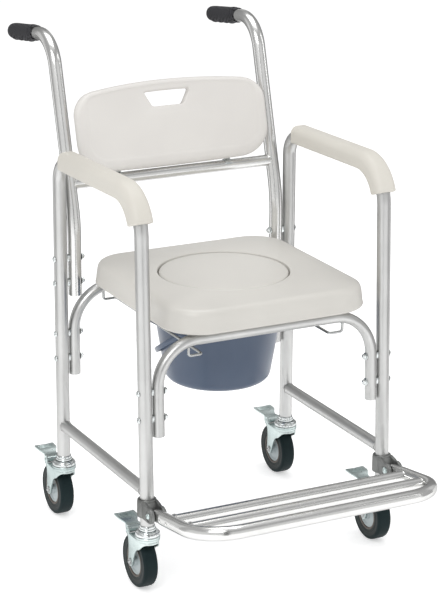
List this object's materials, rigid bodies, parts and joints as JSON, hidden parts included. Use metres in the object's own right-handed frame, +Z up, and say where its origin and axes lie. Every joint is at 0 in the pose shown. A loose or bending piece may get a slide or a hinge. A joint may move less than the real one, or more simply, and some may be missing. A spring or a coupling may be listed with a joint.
{
  "type": "commode chair",
  "caption": "Wheeled commode chair: aluminium tube frame with padded arms, push handles, backrest, seat with lift-out lid, bucket and fold-up footrest.",
  "frame": {"origin": "centre of the footprint, on the floor", "axes": "+Z up, the front faces -Y, +X to the right of someone who faces the front of the chair"},
  "size_m": [0.5416, 0.9146, 0.9474],
  "materials": {
    "tube": "satin anodised tube",
    "arm_pad": "soft satin",
    "seat": "soft satin",
    "backrest": "fine-grained satin",
    "grip": "textured matte",
    "bucket": "semi-gloss",
    "wire": "bright plated wire",
    "cast_bracket": "dark cast grey",
    "zinc": "zinc plated",
    "tyre": "matt rubber",
    "wheel_hub": "moulded"
  },
  "bodies": {
    "frame": {"arm_pad_left": "arm_pad", "arm_pad_right": "arm_pad", "back_crossbar": "tube", "backrest_clip_left": "cast_bracket", "backrest_clip_right": "cast_bracket", "backrest_panel": "backrest", "bucket_rail_left": "wire", "bucket_rail_right": "wire", "caster_front_left_stem": "zinc", "caster_front_right_stem": "zinc", "caster_rear_left_stem": "zinc", "caster_rear_right_stem": "zinc", "footrest_bracket_left": "cast_bracket", "footrest_bracket_right": "cast_bracket", "footrest_pivot_bolt_left": "zinc", "footrest_pivot_bolt_right": "zinc", "grip_left": "grip", "grip_right": "grip", "handle_bolts_left": "zinc", "handle_bolts_right": "zinc", "hoop_bolts_front_left": "zinc", "hoop_bolts_front_right": "zinc", "hoop_bolts_rear_left": "zinc", "hoop_bolts_rear_right": "zinc", "push_handle_left": "tube", "push_handle_right": "tube", "seat_cushion": "seat", "seat_hoop_front": "tube", "seat_hoop_rear": "tube", "side_frame_left": "tube", "side_frame_right": "tube", "side_rail_left": "tube", "side_rail_right": "tube"},
    "seat_lid": {"seat_lid": "seat"},
    "bucket": {"bucket": "bucket"},
    "bucket_bail": {"bucket_bail": "bucket"},
    "footrest": {"footrest_frame": "tube", "footrest_bar_1": "tube", "footrest_bar_2": "tube"},
    "caster_front_left_fork": {"caster_front_left_fork": "zinc", "caster_front_left_axle": "zinc"},
    "caster_front_left_wheel": {"caster_front_left_tyre": "tyre", "caster_front_left_hub": "wheel_hub"},
    "caster_front_left_pedal": {"caster_front_left_pedal": "zinc"},
    "caster_front_right_fork": {"caster_front_right_fork": "zinc", "caster_front_right_axle": "zinc"},
    "caster_front_right_wheel": {"caster_front_right_tyre": "tyre", "caster_front_right_hub": "wheel_hub"},
    "caster_front_right_pedal": {"caster_front_right_pedal": "zinc"},
    "caster_rear_left_fork": {"caster_rear_left_fork": "zinc", "caster_rear_left_axle": "zinc"},
    "caster_rear_left_wheel": {"caster_rear_left_tyre": "tyre", "caster_rear_left_hub": "wheel_hub"},
    "caster_rear_left_pedal": {"caster_rear_left_pedal": "zinc"},
    "caster_rear_right_fork": {"caster_rear_right_fork": "zinc", "caster_rear_right_axle": "zinc"},
    "caster_rear_right_wheel": {"caster_rear_right_tyre": "tyre", "caster_rear_right_hub": "wheel_hub"},
    "caster_rear_right_pedal": {"caster_rear_right_pedal": "zinc"}
  },
  "joints": [
    {"name": "caster_front_left_swivel", "type": "hinge", "parent": "frame", "child": "caster_front_left_fork", "pos_m": [-0.246, -0.2183, 0.11], "axis": [0, 0, 1], "continuous": true},
    {"name": "caster_front_left_spin", "type": "hinge", "parent": "caster_front_left_fork", "child": "caster_front_left_wheel", "pos_m": [-0.246, -0.1863, 0.05], "axis": [1, 0, 0], "continuous": true},
    {"name": "caster_front_left_brake", "type": "hinge", "parent": "caster_front_left_fork", "child": "caster_front_left_pedal", "pos_m": [-0.246, -0.1733, 0.108], "axis": [-1, 0, 0], "range_deg": [0, 12]},
    {"name": "caster_front_right_swivel", "type": "hinge", "parent": "frame", "child": "caster_front_right_fork", "pos_m": [0.246, -0.2183, 0.11], "axis": [0, 0, 1], "continuous": true},
    {"name": "caster_front_right_spin", "type": "hinge", "parent": "caster_front_right_fork", "child": "caster_front_right_wheel", "pos_m": [0.246, -0.1863, 0.05], "axis": [1, 0, 0], "continuous": true},
    {"name": "caster_front_right_brake", "type": "hinge", "parent": "caster_front_right_fork", "child": "caster_front_right_pedal", "pos_m": [0.246, -0.1733, 0.108], "axis": [-1, 0, 0], "range_deg": [0, 12]},
    {"name": "caster_rear_left_swivel", "type": "hinge", "parent": "frame", "child": "caster_rear_left_fork", "pos_m": [-0.246, 0.1642, 0.11], "axis": [0, 0, 1], "continuous": true},
    {"name": "caster_rear_left_spin", "type": "hinge", "parent": "caster_rear_left_fork", "child": "caster_rear_left_wheel", "pos_m": [-0.246, 0.1962, 0.05], "axis": [1, 0, 0], "continuous": true},
    {"name": "caster_rear_left_brake", "type": "hinge", "parent": "caster_rear_left_fork", "child": "caster_rear_left_pedal", "pos_m": [-0.246, 0.2092, 0.108], "axis": [-1, 0, 0], "range_deg": [0, 12]},
    {"name": "caster_rear_right_swivel", "type": "hinge", "parent": "frame", "child": "caster_rear_right_fork", "pos_m": [0.246, 0.1642, 0.11], "axis": [0, 0, 1], "continuous": true},
    {"name": "caster_rear_right_spin", "type": "hinge", "parent": "caster_rear_right_fork", "child": "caster_rear_right_wheel", "pos_m": [0.246, 0.1962, 0.05], "axis": [1, 0, 0], "continuous": true},
    {"name": "caster_rear_right_brake", "type": "hinge", "parent": "caster_rear_right_fork", "child": "caster_rear_right_pedal", "pos_m": [0.246, 0.2092, 0.108], "axis": [-1, 0, 0], "range_deg": [0, 12]},
    {"name": "footrest_fold", "type": "hinge", "parent": "frame", "child": "footrest", "pos_m": [0, -0.2548, 0.164], "axis": [-1, 0, 0], "range_deg": [0, 85]},
    {"name": "seat_lid_lift", "type": "slide", "parent": "frame", "child": "seat_lid", "axis": [0, 0, 1], "range_m": [0, 0.06]},
    {"name": "bucket_slide", "type": "slide", "parent": "frame", "child": "bucket", "axis": [0, 1, 0], "range_m": [0, 0.36]},
    {"name": "bucket_bail_swing", "type": "hinge", "parent": "bucket", "child": "bucket_bail", "pos_m": [0, -0.0108, 0.429], "axis": [0.866, 0.5, 0], "range_deg": [0, 32]}
  ]
}
